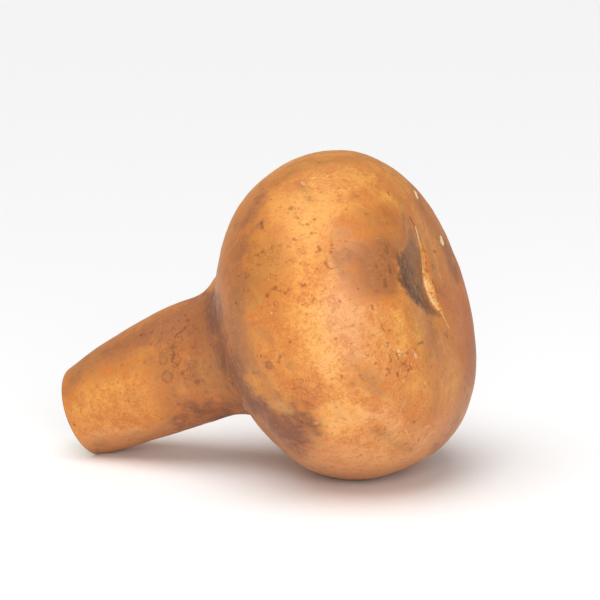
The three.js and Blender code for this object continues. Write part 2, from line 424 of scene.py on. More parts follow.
# Broad soft staining, with painted shade and painted highlight laid on the same way. An area is an
# outline in the photograph's pixels, the softness of its edge in px, and its strength. The others are
# a pixel or a path of them, or a place on the skin that the photograph doesn't reach, then how wide
# each spreads in mm and its strength.
stainsAndPaintedLight = {
    # brown: real staining, and painted shade over the neck, its root and the fold, and along the bulb's
    # limbs and bottom
    "umber": {
        "areas": [
            ([(376, 238), (396, 244), (398, 262), (392, 292), (378, 296), (362, 284), (356, 262),
              (362, 246)], 14, 0.8),
            ([(330, 222), (356, 212), (392, 214), (402, 236), (396, 300), (366, 300), (342, 280),
              (330, 250)], 16, 0.4),
            # painted shade along the bulb's left limb
            ([(262, 184), (268, 196), (250, 232), (242, 280), (244, 330), (252, 372), (240, 376),
              (224, 330), (218, 270), (234, 222)], 9, 0.62),
            ([(98, 354), (135, 333), (170, 315), (206, 295), (214, 318), (208, 342), (182, 332),
              (150, 340), (112, 358)], 9, 0.62),
            # painted shade in the fold where the neck meets the bulb
            ([(236, 300), (250, 320), (260, 350), (272, 380), (280, 400), (264, 398), (250, 370),
              (238, 340)], 9, 0.45),
            ([(334, 256), (352, 250), (372, 262), (372, 300), (352, 308), (338, 290)], 10, 0.3),
            # painted shade over the neck's root
            ([(140, 334), (170, 312), (206, 292), (212, 300), (222, 350), (214, 380), (196, 372),
              (186, 340), (160, 342)], 12, 0.3),
            ([(262, 424), (284, 440), (306, 452), (300, 462), (276, 450), (258, 432)], 7, 0.6),
            # painted shade over the top of the neck
            ([(60, 392), (76, 362), (110, 342), (150, 322), (206, 294), (206, 310), (160, 338),
              (112, 360), (84, 378), (68, 402)], 7, 0.4),
            # painted shade under the neck
            ([(92, 462), (80, 440), (130, 432), (180, 420), (240, 404), (244, 420), (180, 446),
              (120, 466)], 9, 0.45),
            # painted shade over the neck's root
            ([(150, 330), (206, 300), (232, 360), (246, 404), (200, 420), (160, 424),
              (150, 380)], 22, 0.35),
            # painted shade over the neck
            ([(56, 396), (76, 356), (140, 316), (206, 290), (236, 360), (246, 404), (190, 400),
              (140, 372), (90, 384)], 16, 0.4),
            # painted shade along the bulb's right limb
            ([(468, 300), (480, 345), (478, 390), (462, 430), (436, 462), (428, 450), (452, 410),
              (464, 370), (463, 330)], 8, 0.5),
            # painted shade along the bulb's bottom
            ([(262, 432), (300, 456), (345, 468), (390, 466), (430, 446), (446, 462), (390, 492),
              (340, 492), (285, 474)], 14, 0.3),
            ([(244, 396), (262, 396), (296, 398), (322, 420), (324, 446), (308, 456), (280, 444),
              (250, 410)], 14, 0.55),
            ([(418, 230), (424, 240), (429, 256), (431, 275), (436, 290), (442, 302), (446, 298),
              (440, 280), (436, 262), (430, 244)], 3, 0.4),
            ([(434, 338), (441, 344), (443, 372), (439, 422), (430, 422), (435, 372)], 6, 0.35),
            ([(438, 226), (447, 240), (455, 258), (462, 280), (457, 284), (450, 266), (444, 250),
              (437, 234)], 3.5, 0.35),
        ],
        "seen": [
            ([(386.5, 243), (387, 255)], 2.6, 0.6), ([(390, 266), (391, 274)], 2.2, 0.6),
            ((384.5, 285), 3.2, 0.7), ([(379, 264), (380, 280)], 6, 0.35), ((269, 365), 2.7, 0.75),
            ((352, 384), 2.6, 0.6), ([(369, 377), (384, 388)], 8, 0.35),
            ([(269, 339), (262, 330)], 5, 0.35), ((290, 364), 4.5, 0.35), ((283, 383), 2.4, 0.45),
            ((253, 322), 2, 0.45), ([(240, 262), (247, 290)], 8, 0.35),
            ([(262, 280), (275, 312)], 8, 0.25), ([(246, 222), (254, 206), (262, 196)], 2.6, 0.7),
            ([(258, 226), (262, 222)], 2.4, 0.5), ([(135, 338), (145, 331)], 2, 0.75),
            ((147, 324), 1.8, 0.6), ([(163, 400), (180, 412), (172, 418)], 7, 0.3),
            ([(203.6, 311), (203.8, 319)], 1.6, 0.75), ([(405, 400), (412, 430)], 6, 0.3),
            ([(425, 420), (437, 398)], 5, 0.3), ([(395, 362), (404, 366)], 3.5, 0.4),
        ],
        "hidden": [
            ([(60, 330), (80, 320)], 8, 0.5), ([(175, 300), (190, 320)], 16, 0.5), ((240, 255), 14, 0.5),
            ([(150, 235), (170, 225)], 10, 0.45), ([(215, 200), (225, 215)], 9, 0.5),
            ((290, 290), 12, 0.5), ((205, 345), 9, 0.4), ((30, 260), 9, 0.45),
            ([(265, 340), (280, 350)], 8, 0.45), ((185, 250), 3, 0.7), ((192, 262), 2, 0.7),
            ((55, 215), 3, 0.6), ((245, 320), 3, 0.6),
        ],
    },
    # a real purple-brown patch low on the bulb's left, and painted shade in the fold where the neck meets
    # the bulb
    "plum": {
        "areas": [
            ([(258, 405), (272, 412), (290, 414), (302, 420), (308, 436), (306, 450), (290, 444),
              (272, 430), (260, 418)], 15, 0.72),
            # painted shade under the neck's root
            ([(180, 402), (204, 396), (226, 402), (250, 412), (252, 422), (226, 426), (200, 426),
              (180, 430), (174, 416)], 13, 0.68),
            # painted shade in the fold
            ([(204, 290), (218, 290), (226, 330), (240, 366), (258, 398), (266, 414), (252, 414),
              (232, 390), (216, 352), (206, 318)], 10, 0.75),
        ],
        "seen": [
            ([(268, 412), (284, 428), (300, 444)], 8, 0.5), ([(280, 424), (296, 434)], 5, 0.4),
            ([(292, 408), (304, 416), (312, 426)], 5, 0.4), ([(316, 420), (320, 432)], 4, 0.35),
        ],
        "hidden": [
            # the first three are painted shade along the fold on the hidden side
            ([(112, 180), (112, 215), (114, 250)], 8, 0.5),
            ([(112, 250), (112, 290), (114, 330)], 7, 0.45), ([(112, 330), (112, 355)], 6, 0.4),
            ([(230, 195), (215, 210)], 13, 0.45), ((95, 300), 9, 0.4),
        ],
    },
    "bloom": {  # painted highlight on the middle of the bulb, and painted reflection of the pale floor along the undersides of the bulb and neck
        "areas": [
            ([(346, 402), (392, 400), (416, 424), (400, 446), (350, 446), (328, 424)], 14, 0.4),
            ([(300, 300), (345, 290), (398, 322), (408, 380), (390, 430), (330, 440),
              (298, 400)], 26, 0.32),
            ([(330, 262), (348, 256), (372, 262), (380, 300), (372, 345), (350, 372), (336, 350),
              (330, 310)], 20, 0.5),
            ([(330, 225), (352, 225), (372, 240), (380, 262), (350, 262), (334, 250)], 14, 0.6),
            ([(262, 420), (300, 438), (345, 446), (400, 446), (440, 420), (470, 396), (476, 420),
              (440, 466), (390, 492), (330, 492), (280, 470)], 24, 0.95),
            ([(76, 440), (92, 430), (180, 420), (240, 410), (240, 424), (150, 452), (100, 464)], 8, 0.6),
        ],
        "seen": [([(340, 284), (340, 312)], 9, 0.4)],
        "hidden": [([(180, 330), (200, 345)], 14, 0.5), ([(60, 190), (90, 200)], 8, 0.4)],
    },
    "char": {  # the darkest part of the weathered patch beside the crease
        "areas": [
            ([(395, 252), (397, 260), (398.5, 268), (396, 277), (400, 285), (405, 290), (408, 296),
              (412, 302), (419, 308), (427, 311), (431, 308), (424, 294), (418, 282), (413, 268),
              (408, 256), (402, 250)], 3, 0.6),
            ([(396, 256), (399, 268), (397, 277), (402, 286), (409, 296), (419, 305), (421, 301),
              (412, 290), (406, 276), (401, 262)], 3.5, 0.9),
        ],
    },
    "bare": {  # weathered brown skin along the crease
        "areas": [
            ([(398, 208), (402, 222), (404, 236), (408, 248), (419, 250), (418, 238), (414, 226),
              (407, 214)], 8, 0.6),
            ([(399, 252), (400, 270), (406, 288), (416, 302), (428, 314), (440, 316), (432, 305),
              (427, 295), (424, 284), (423, 268), (420.5, 250), (412, 240)], 4, 0.9),
            ([(424, 306), (436, 314), (440, 334), (438, 360), (428, 362), (424, 336)], 8, 0.4),
        ],
        "hidden": [([(225, 130), (232, 150)], 5, 0.5), ([(222, 40), (214, 30)], 4, 0.4)],
    },
    "gold": {
        "areas": [
            ([(268, 194), (310, 186), (338, 192), (346, 206), (330, 222), (306, 236), (284, 226),
              (268, 212)], 14, 0.9),
            ([(300, 226), (322, 224), (330, 260), (334, 300), (338, 350), (340, 392), (318, 396),
              (304, 350), (294, 300), (294, 250)], 24, 0.5),
            ([(318, 408), (345, 398), (370, 406), (366, 424), (345, 436), (322, 432),
              (312, 420)], 12, 0.9),
            ([(80, 396), (110, 374), (146, 360), (154, 374), (130, 396), (98, 420), (84, 416)], 16, 0.25),
        ],
        "seen": [
            ([(335, 178), (372, 180)], 10, 0.5), ((388, 196), 3.5, 0.8),
            ([(316, 340), (336, 362)], 9, 0.4), ([(364, 432), (390, 440)], 9, 0.4),
            ([(84, 412), (96, 404)], 5, 0.3), ([(400, 316), (403, 344)], 4, 0.7),
            ([(262, 232), (268, 252)], 5, 0.4), ((182.6, 389), 4.2, 0.8), ((213, 377), 4, 0.5),
            ((189.6, 357.6), 2.1, 1), ([(240, 302), (244, 330)], 5, 0.3),
            ([(417, 330), (421, 352)], 3.6, 0.5), ([(246, 240), (262, 236), (280, 214)], 3, 0.4),
            ([(252, 286), (262, 300)], 3, 0.4),
        ],
        "hidden": [
            ([(170, 10), (200, 5)], 16, 0.6), ([(200, 270), (220, 280)], 18, 0.6), ((190, 190), 14, 0.6),
            ([(40, 230), (60, 240)], 12, 0.6), ((250, 310), 12, 0.5), ((20, 330), 10, 0.5),
            ([(175, 225), (185, 245)], 9, 0.5), ((70, 290), 6, 0.6),
        ],
    },
    # a real rusty patch beside the crease and a red spot on the neck, and painted shade along the bulb's
    # right limb
    "rust": {
        "areas": [
            ([(436, 283), (447, 287), (458, 304), (467, 325), (462, 338), (448, 326),
              (438, 306)], 6, 0.7),
            ([(169, 342), (190, 340), (203, 350), (201, 374), (187, 382), (176, 366)], 8, 0.4),
            ([(110, 346), (150, 322), (206, 292), (216, 310), (220, 350), (200, 356), (170, 336),
              (130, 352)], 12, 0.5),
            # painted shade along the bulb's right limb
            ([(446, 262), (462, 270), (474, 300), (482, 340), (480, 384), (464, 384), (460, 340),
              (448, 300)], 9, 0.9),
            ([(400, 246), (394, 250), (386, 262), (386, 290), (396, 288)], 4, 0.5),
            # painted shade along the bulb's lower right limb
            ([(476, 390), (470, 420), (448, 450), (428, 464), (436, 440), (452, 416),
              (462, 388)], 8, 0.5),
            ([(290, 384), (306, 378), (328, 384), (330, 400), (314, 414), (296, 404)], 8, 0.25),
            ([(236, 216), (262, 180), (288, 174), (300, 196), (292, 240), (262, 268),
              (234, 268)], 16, 0.4),
            ([(100, 352), (150, 325), (208, 291), (216, 312), (190, 332), (140, 346)], 10, 0.4),
        ],
        "seen": [
            ([(404, 226), (403, 244)], 3.4, 0.6), ([(392, 252), (392, 290)], 3.6, 0.5),
            ([(376, 204), (392, 216)], 7, 0.4), ([(420, 365), (440, 380)], 8, 0.35),
            ([(292, 384), (302, 398), (316, 400)], 6, 0.4), ([(448, 336), (460, 352)], 7, 0.7),
            ([(276, 298), (272, 318)], 5, 0.3), ([(425, 215), (432, 236)], 4, 0.5),
            ([(198, 344), (200, 352)], 5, 0.4), ([(405, 312), (410, 322)], 4, 0.4),
            ([(437, 254), (446, 284)], 4, 0.5),
        ],
        "hidden": [
            ([(275, 290), (280, 250)], 16, 0.7), ([(70, 260), (90, 270)], 12, 0.6), ((160, 330), 14, 0.5),
            ((205, 235), 12, 0.5), ((285, 200), 10, 0.5), ((232, 60), 8, 0.5),
        ],
    },
    "olive": {
        "areas": [
            ([(415, 198), (424, 206), (437, 222), (445, 238), (453, 256), (461, 278), (458, 284),
              (449, 270), (441, 250), (432, 232), (422, 216)], 3.5, 0.6),
            ([(262, 182), (290, 166), (330, 156), (372, 158), (368, 164), (330, 166), (296, 176),
              (270, 192)], 6, 0.4),
            ([(96, 352), (135, 330), (170, 314), (205, 300), (200, 320), (165, 332), (132, 346),
              (100, 362)], 8, 0.35),
            ([(228, 310), (232, 244), (250, 212), (272, 226), (292, 262), (284, 292),
              (258, 310)], 16, 0.6),
            ([(352, 204), (384, 204), (404, 220), (396, 234), (366, 226)], 10, 0.4),
        ],
        "seen": [
            ([(270, 186), (284, 178), (296, 170)], 3, 0.5),
            ([(290, 166), (308, 160), (324, 163)], 3, 0.5), ([(336, 160), (356, 158)], 4, 0.4),
            ([(354.5, 196.5), (358.5, 196)], 1.2, 1), ([(442, 244), (449, 262), (455, 274)], 2.4, 0.8),
            ([(421, 345), (428, 365), (432, 385)], 5, 0.4), ([(98, 356), (120, 346)], 3, 0.5),
            ([(382, 188), (402, 200)], 5, 0.4), ([(386, 212), (396, 224)], 5, 0.5),
        ],
        "hidden": [
            ([(215, 330), (235, 325)], 8, 0.6), ((165, 275), 9, 0.5), ((50, 300), 6, 0.5),
            ((260, 225), 8, 0.6), ([(228, 100), (236, 115)], 5, 0.6),
        ],
    },
    "scar": {  # cream patches where the skin has flaked off
        "areas": [
            ([(413.4, 190.4), (415.2, 190.6), (416.6, 193.4), (418.6, 198.4), (417.6, 200),
              (415.8, 197)], 0.9, 1),
            ([(439.6, 235.8), (441.6, 235.4), (443, 240), (444.6, 244.6), (443.2, 246),
              (441, 243)], 0.9, 1),
        ],
    },
    "putty": {  # smooth dull smears
        "areas": [
            ([(267, 402), (278, 400), (290, 405), (295, 410), (292, 414), (282, 413),
              (270, 408)], 4, 0.8),
            ([(304, 428), (312, 430), (322, 440), (330, 450), (322, 452), (310, 442)], 6, 0.4),
        ],
        "seen": [([(318, 410), (324, 424)], 3, 0.4), ([(335, 402), (340, 416)], 2.5, 0.4)],
        "hidden": [([(215, 215), (222, 228)], 6, 0.7), ([(120, 330), (124, 340)], 4, 0.6)],
    },
    "tan": {  # pale worn skin
        "areas": [
            ([(423.2, 276), (427, 278), (431.5, 285), (434, 291.5), (435, 298), (438, 304), (441, 311),
              (438, 310), (434, 306), (430.5, 301), (427, 293), (424.2, 285)], 1.4, 1),
        ],
        "seen": [((316, 423), 1.3, 0.6)],
        "hidden": [
            ([(230, 250), (238, 262)], 4, 0.8), ([(150, 300), (152, 308)], 3.5, 0.7),
            ((60, 250), 2.5, 0.7),
        ],
    },
}

seenPixels = photoPixels(plain["points"])
seenFaces = facesCamera(plain["points"], plain["normals"])


def stainAndLightMask(points, stainAndLight):
    clear = np.ones(len(points))
    for outline, soft, strong in stainAndLight["areas"]:
        share = smoothstep(depthInside(seenPixels, outline), -soft, soft)
        clear *= 1 - strong * share * seenFaces
    for finder, key in ((skinUnder, "seen"), (skinAt, "hidden")):
        for place, wide, strong in stainAndLight.get(key, []):
            away = nearestOnPath(points, pathOn(finder, place))[1]
            clear *= 1 - strong * np.exp(-(away / wide) ** 2)
    return 1 - clear


stainAndLightMasks = {name: stainAndLightMask(plain["points"], stainAndLight) for name, stainAndLight in stainsAndPaintedLight.items()}
print("stains placed:", ", ".join(stainAndLightMasks))

# Small marks with clear edges. Under its strength, each one is a pixel or a path of them and
# its half width in px. A cluster has its middle, how far it spreads, how many marks it has,
# their largest half width in px and their strength. Scattered ones, in mm, cover all the skin.
smallMarks = {
    "pit": {  # dark specks and small sunken spots
        "seen": {
            0.8: [
                ([(425.6, 250), (425.9, 252)], 1.1), ([(426.6, 261), (426.9, 264)], 1),
                ([(427.2, 269), (427.4, 272)], 1.1), ([(432.4, 279), (433.5, 283)], 1.3),
                ([(411, 217), (412.5, 221)], 1.2), ([(414, 223.5), (415, 226)], 1.2),
            ],
            0.7: [
                ((291, 208), 3), ((298, 218), 1.6), ([(261, 222), (262, 228)], 2), ((307, 224), 2),
                ((293.5, 239), 1.8), ((272, 246), 1.3), ((261.5, 252), 1.2), ((257.5, 255), 1.4),
                ([(318, 247), (320, 250)], 2), ((331, 252), 1.8), ((331.5, 245), 1.6),
                ([(325, 262), (328, 267)], 1.8), ((332, 268.5), 1.3), ((314, 219), 2), ((312, 233), 1.8),
                ((339, 188), 1.3), ([(254, 200), (257, 197)], 1.3), ((258, 203.5), 1.2),
                ((239, 276), 1.3), ((246, 277.5), 1.6), ((264, 189), 1.2),
                ([(388, 192), (389, 195)], 1.2), ((267, 296), 2.2), ((285, 293), 2), ((275, 288), 2.4),
                ((303, 286), 1.6), ((314, 299), 1.8), ((236, 303), 1.8), ((358, 289), 1.2),
                ((340, 301), 1.6), ((261, 356), 1.5), ((280, 357), 2), ((290, 342), 1.8),
                ((302, 422), 2.2), ((376, 363), 1.6), ((341.5, 375.5), 0.9), ((341.5, 378), 0.9),
                ([(372, 306), (373, 309)], 1.6), ([(387.5, 343), (387.8, 347)], 1),
                ([(389.5, 354), (391.5, 362)], 1), ((408.7, 370), 1.9), ([(397.7, 372), (398, 376)], 1.2),
                ([(418, 344), (423, 342)], 1.4), ((397, 353.5), 1.6), ([(445, 333), (448, 337)], 1.5),
                ((444.5, 356), 1.2), ((403.6, 364), 0.9), ((428, 366), 0.8), ((428, 373), 0.8),
                ((414, 422), 1.8), ((419, 440), 1.6), ((384.5, 429.5), 1.4), ((377.5, 457.5), 0.9),
                ([(433.6, 251), (435.6, 251.6)], 1.6), ((426.4, 257), 0.9),
                ([(435.5, 287), (437, 293)], 1.2), ([(419.5, 236), (421.5, 242)], 0.8),
                ([(423.2, 246), (423.6, 251)], 0.8), ((410.7, 219), 1), ((413, 223), 0.9),
                ((428.6, 321.5), 1.4), ((434, 324.5), 1.1), ((124, 414), 1.1), ((140.5, 414.5), 0.9),
                ((174.3, 395.5), 0.9), ((161.5, 419), 1.3), ((74.3, 425), 1.2), ((212, 398), 1.4),
                ((172.3, 347), 2.2), ((173.6, 355.8), 2.1), ((177, 365), 1.7), ((182.5, 373.5), 2),
                ((196.5, 382), 2.2), ((175, 337), 1.4), ((180.6, 332), 1.7), ((184.5, 328), 1.7),
                ((187.6, 320), 1.4), ((185, 315), 1.5), ((178.7, 321), 1.3), ((195.3, 324), 1.1),
                ((141, 335), 2.2), ((400, 399), 0.9),
            ],
            0.6: [([(433, 264.5), (433.4, 268)], 1.2), ([(438, 297), (439, 301)], 1)],
            0.55: [([(381, 323), (384, 331)], 1.1)],
            0.5: [
                ([(387, 246), (387.5, 253)], 1.6), ([(390, 267), (390.5, 272)], 1.7),
                ([(385, 280), (386, 286)], 2.2), ([(388, 331), (390, 330)], 1.1),
            ],
        },
        "clusters": [
            ((405, 359), 12, 40, 1.3, 0.75), ((276, 272), 22, 60, 1.1, 0.6),
            ((300, 232), 20, 26, 1.1, 0.55), ((260, 246), 10, 20, 1.1, 0.6), ((322, 300), 22, 30, 1, 0.4),
            ((178, 344), 12, 36, 1.2, 0.7), ((194, 378), 7, 12, 1.3, 0.6), ((296, 356), 20, 34, 1, 0.45),
            ((378, 366), 9, 8, 1.1, 0.6), ((344, 236), 16, 16, 1, 0.4), ((120, 406), 18, 30, 1, 0.35),
            ((384, 318), 18, 16, 1.1, 0.45), ((440, 330), 9, 12, 1.1, 0.5), ((306, 394), 9, 24, 1.1, 0.6),
            ((390, 262), 7, 18, 1.1, 0.5), ((416, 406), 14, 16, 1, 0.4), ((193, 326), 7, 12, 1.1, 0.5),
            ((435, 264), 5, 22, 0.9, 0.6), ((441, 288), 5, 12, 0.9, 0.5), ((388, 250), 5, 14, 0.9, 0.5),
        ],
        "scatter": 520,
        "sizes": (0.35, 1.1),
        "strengths": (0.2, 0.6),
        "depth": 0.28,
    },
    "crust": {  # pale dried skin, scars and scratches that stand a little proud
        "seen": {
            0.7: [([(243, 403), (246.3, 410)], 0.9)],
            0.6: [
                ((377.5, 238), 1.1),
                ([(415.7, 227), (418.8, 240), (420.8, 250), (422.3, 261), (423, 272)], 1.4),
            ],
            0.5: [((408.7, 312.5), 1), ([(424, 279), (427.5, 292), (432, 301), (438, 310)], 1.5)],
            0.45: [([(398, 351), (401, 352)], 1.8)],
            0.4: [
                ([(302, 182), (304, 184)], 2), ([(312.5, 178), (315, 177.5)], 1.4), ((399.5, 320.5), 1.4),
                ((391.6, 309), 0.9), ([(405.5, 461), (409, 460)], 1), ((198.5, 302), 0.9),
                ([(237, 240), (235, 245)], 0.6),
            ],
            0.35: [
                ((284, 184), 1.4), ((327, 176), 1.2), ((253, 208), 1), ((272, 313), 1.5),
                ((399.5, 332), 1.4), ([(414.5, 353), (416, 357)], 1.8),
                ([(441, 312), (445, 320), (449, 328)], 1.2),
            ],
            0.3: [
                ([(438, 341), (439, 346)], 1.4), ([(424.5, 382), (425, 384)], 1.4), ((403.5, 381), 1.5),
                ([(441, 380), (442.5, 387)], 1), ([(452, 390), (452.5, 393)], 1.2),
                ([(405.5, 430), (408, 434)], 0.8),
            ],
            0.2: [([(396.5, 418), (402, 408), (405, 401)], 0.9)],
        },
        "clusters": [
            ((405, 360), 12, 14, 1.1, 0.4), ((446, 372), 9, 8, 0.9, 0.3), ((430, 332), 9, 6, 1, 0.35),
            ((304, 190), 12, 7, 0.9, 0.35), ((272, 300), 20, 12, 0.8, 0.25),
            ((436, 272), 5, 8, 0.8, 0.35), ((430, 412), 10, 6, 0.8, 0.3),
        ],
        "scatter": 24,
        "sizes": (0.4, 0.9),
        "strengths": (0.1, 0.25),
        "depth": -0.15,
    },
    "ring": {  # round mould marks with a darker rim
        "seen": {
            0.9: [
                ((172, 346.8), 3.4), ((173.6, 356), 3), ((176.2, 365.6), 3), ((182.6, 373.5), 3.4),
                ((304, 391), 3.2),
            ],
            0.8: [
                ((161.5, 341), 2.6), ((164.7, 350), 2.8), ((178.7, 359.5), 3), ((188.3, 372.3), 3),
                ((196.6, 381.8), 3.4), ((297, 386), 3), ((311, 396), 3), ((318, 389), 2.8),
            ],
            0.7: [((157, 345), 3), ((269, 365), 4.4)],
            0.65: [((167.2, 376.7), 6.4)],
            0.6: [((180, 349), 3), ((308, 406), 3.6)],
            0.5: [
                ((163.4, 360), 5.4), ((170, 334), 3.2), ((129, 392), 3.4), ((124.5, 398.5), 3),
                ((281.5, 394), 3.4), ((276, 304.5), 3), ((300, 401), 3.4), ((316, 404), 3.2),
                ((199.5, 331), 2.4),
            ],
            0.4: [((137, 396), 3), ((337, 301), 2.4)],
        },
        "clusters": [
            ((170, 344), 7, 26, 2.6, 0.95), ((306, 394), 9, 24, 2.6, 0.75), ((188, 374), 7, 12, 2.6, 0.8),
            ((276, 352), 12, 8, 2.2, 0.4),
        ],
        "scatter": 60,
        "sizes": (1, 3),
        "strengths": (0.15, 0.45),
        "depth": 0.04,
    },
}
markRules = {
    "seed": 41,
    "pixel": 0.576,  # mm on the skin
    "clusterReach": 1.5,  # marks further out than this, in spreads, are brought in to it
    "halfWidths": 2.2,  # how far out a mark's strength is kept
    "leastReach": 2,  # mm, likewise
    "fullDepthAt": 0.9,  # mm, marks narrower than this are shallower
    "farOff": 99,
}


def scatterOnSkin(mark, seed):
    # random points of the skin, evenly by area, each with a half width in mm and a strength
    draw = np.random.default_rng(seed)
    count = mark["scatter"]
    smallest, largest = mark["sizes"]
    rows = np.flatnonzero(form["onRind"])[2:-2]
    out = form["out"][rows, 0]
    weight = out * np.gradient(form["skin"][rows])
    row = draw.choice(rows, count, p=weight / weight.sum())
    turn = draw.uniform(0, 360, count)
    size = smallest + (largest - smallest) * draw.random(count) ** 2.5  # few large ones
    strong = draw.uniform(*mark["strengths"], count)
    return [([skinAt((form["skin"][r], t))], s, k) for r, t, s, k in zip(row, turn, size, strong)]


def clustersOnSkin(mark, seed):
    draw = np.random.default_rng(seed)
    marks = []
    for middle, spread, count, largest, strong in mark["clusters"]:
        reach = markRules["clusterReach"] * spread
        for away in draw.normal(0, spread, (count, 2)).clip(-reach, reach):
            half = largest * draw.uniform(0.4, 1)
            share = draw.uniform(0.5, 1)
            marks.append(([skinUnder(middle + away)], half * markRules["pixel"], strong * share))
    return marks


def marksSeen(mark):
    return [(pathOn(skinUnder, place), half * markRules["pixel"], strong)
            for strong, places in mark["seen"].items() for place, half in places]


def markField(points, mark, seed):
    # offset from the nearest mark in half widths, its strength near it, and the relief it makes
    best = np.full(len(points), float(markRules["farOff"]))
    offset = np.full((len(points), 3), float(markRules["farOff"]))
    near = np.zeros(len(points))
    relief = np.zeros(len(points))
    for path, half, strong in marksSeen(mark) + clustersOnSkin(mark, seed) + scatterOnSkin(mark, seed):
        middle = np.mean(path, axis=0)
        reach = max(np.linalg.norm(p - middle) for p in path) + 3 * half + 3
        local = np.flatnonzero(np.abs(points - middle).max(1) < reach)
        away, distance = nearestOnPath(points[local], path)
        closer = distance / half < best[local]
        chosen = local[closer]
        best[chosen] = distance[closer] / half
        offset[chosen] = away[closer] / half
        kept = max(markRules["halfWidths"] * half, markRules["leastReach"])
        near[chosen] = strong * (distance[closer] < kept)
        deep = mark["depth"] * min(1, half / markRules["fullDepthAt"])
        relief[local] -= deep * np.exp(-(distance / half) ** 2)
    return offset, near, relief


markFields = {name: markField(plain["points"], mark, markRules["seed"] + i)
              for i, (name, mark) in enumerate(smallMarks.items())}
print("small marks placed")

# Relief that only the fine mesh carries, in mm. A pair is its height and its size or reach.
fineRelief = {
    "lumps": (0.28, 24),  # gentle unevenness all over
    "ripple": (0.1, 7),
    "pucker": (0.5, 26),  # folds that run into the blossom scar
    "puckerTight": 3,  # more makes more folds
    "puckerLong": 60,
    "puckerStarts": (0.03, 0.2),  # in shares of its reach
    "foldRings": (0.22, 9),  # rings in the fold at the neck's root
    "foldRingGrain": {"along": 3, "around": 0.35, "size": 9},
    "calmEdge": (0.3, 6),  # distance from the sawn edge over which the skin's relief sets in
    "pithRough": (1.1, 5),
    "pithCracks": (1.4, 9),
    "crackWide": 0.12,
    "pithRim": (2.5, 0.3),  # the pith's relief ends between these distances from its edge
    "sawMarks": (0.12, 1.7),
    "sawLean": 0.2,
    "sawEnds": (26, 27),
}


def noiseOver(points, size, seed, octaves=2):
    shift = Vector((seed * 17.3, seed * 5.1, seed * 9.7))  # far apart for each seed
    return np.array([noise.fractal(Vector(p) / size + shift, 0.8, 2.2, octaves) for p in points])


def puckerRelief(plan):
    dimple = gourdForm["dimple"]
    x = plain["side"] - dimple["side"]
    y = plain["up"] - dimple["up"]
    angle = np.arctan2(y, x)
    away = np.hypot(x, y)
    high, reach = plan["pucker"]
    rays = np.stack([np.cos(angle), np.sin(angle), away / plan["puckerLong"]], 1)
    folds = noiseOver(rays * plan["puckerTight"], 0.5, 3, 3)
    share = away / reach
    fade = np.exp(-share ** 2) * smoothstep(share, *plan["puckerStarts"])
    return high * folds * plain["onEnd"] * fade


def neckRingRelief(plan):
    grain = plan["foldRingGrain"]
    around = [plain[name] * grain["around"] for name in ("side", "up")]
    rings = noiseOver(np.stack([plain["along"] * grain["along"], *around], 1), grain["size"], 4, 3)
    high, reach = plan["foldRings"]
    return high * rings * np.exp(-((plain["along"] - gourdForm["foldAt"]) / reach) ** 2)


def skinRelief(plan):
    height = puckerRelief(plan) + neckRingRelief(plan)
    for seed, name in enumerate(("lumps", "ripple"), 1):
        high, size = plan[name]
        height += high * noiseOver(plain["points"], size, seed)
    for offset, near, relief in markFields.values():
        height += relief
    return np.where(plain["onRind"], height * smoothstep(plain["along"], *plan["calmEdge"]), 0)


def sawnRelief(plan):
    # the rough pith and the faint marks of the saw
    side, up, out = (plain[name] for name in ("side", "up", "out"))
    pithEdge = gourdForm["outline"][0][1] - gourdForm["ring"]
    rimStarts, rimEnds = (pithEdge - inside for inside in plan["pithRim"])
    inPith = 1 - smoothstep(out, rimStarts, rimEnds)
    face = np.stack([side, up, np.zeros(len(side))], 1)
    rough, roughSize = plan["pithRough"]
    deep, crackSize = plan["pithCracks"]
    cracks = 1 - np.clip(np.abs(noiseOver(face, crackSize, 6, 3)) / plan["crackWide"], 0, 1)
    pith = rough * noiseOver(face, roughSize, 5, 4) - deep * cracks
    high, spacing = plan["sawMarks"]
    saw = high * np.sin((up + plan["sawLean"] * side) / spacing * 2 * np.pi)
    saw *= smoothstep(out, pithEdge, pithEdge + 1) * (1 - smoothstep(out, *plan["sawEnds"]))
    return np.where(plain["onRind"], 0, inPith * pith + saw)


def buildGourd():
    height = skinRelief(fineRelief) + sawnRelief(fineRelief)
    points = plain["points"] + height[:, None] * plain["normals"]
    points[:, 2] = np.maximum(points[:, 2], 0)
    mesh = bpy.data.meshes.new("driedGourd")
    mesh.from_pydata((points * mm).tolist(), [], faces)
    mesh.polygons.foreach_set("use_smooth", np.ones(len(faces), bool))
    corner = np.array([face[0] for face in faces])
    slots = np.where(plain["onRind"][corner], 0, 1).astype(np.int32)
    mesh.polygons.foreach_set("material_index", slots)
    mesh.update()
    gourd = bpy.data.objects.new("driedGourd", mesh)
    bpy.context.collection.objects.link(gourd)
    return gourd


# Places that the grain of the skin follows, in mm.
grainPlaces = {
    "skinRadius": 60,
    "raysMeet": (6, -15),  # side and up of the place that the streaks of the blossom end run to
    "rayRadius": 20,
    "farthest": 9,  # offsets from small marks are kept up to this many half widths
}


def keepOnMesh(mesh, name, values):
    kind = "FLOAT_VECTOR" if values.ndim == 2 else "FLOAT"
    layer = mesh.attributes.new(name, kind, "POINT")
    layer.data.foreach_set("vector" if values.ndim == 2 else "value", values.astype(np.float32).ravel())


def roundPlace(far, angle, radius):
    # a distance, and an angle as a circle, so that grain can run lengthwise
    return np.stack([far, radius * np.sin(angle), radius * np.cos(angle)], 1)


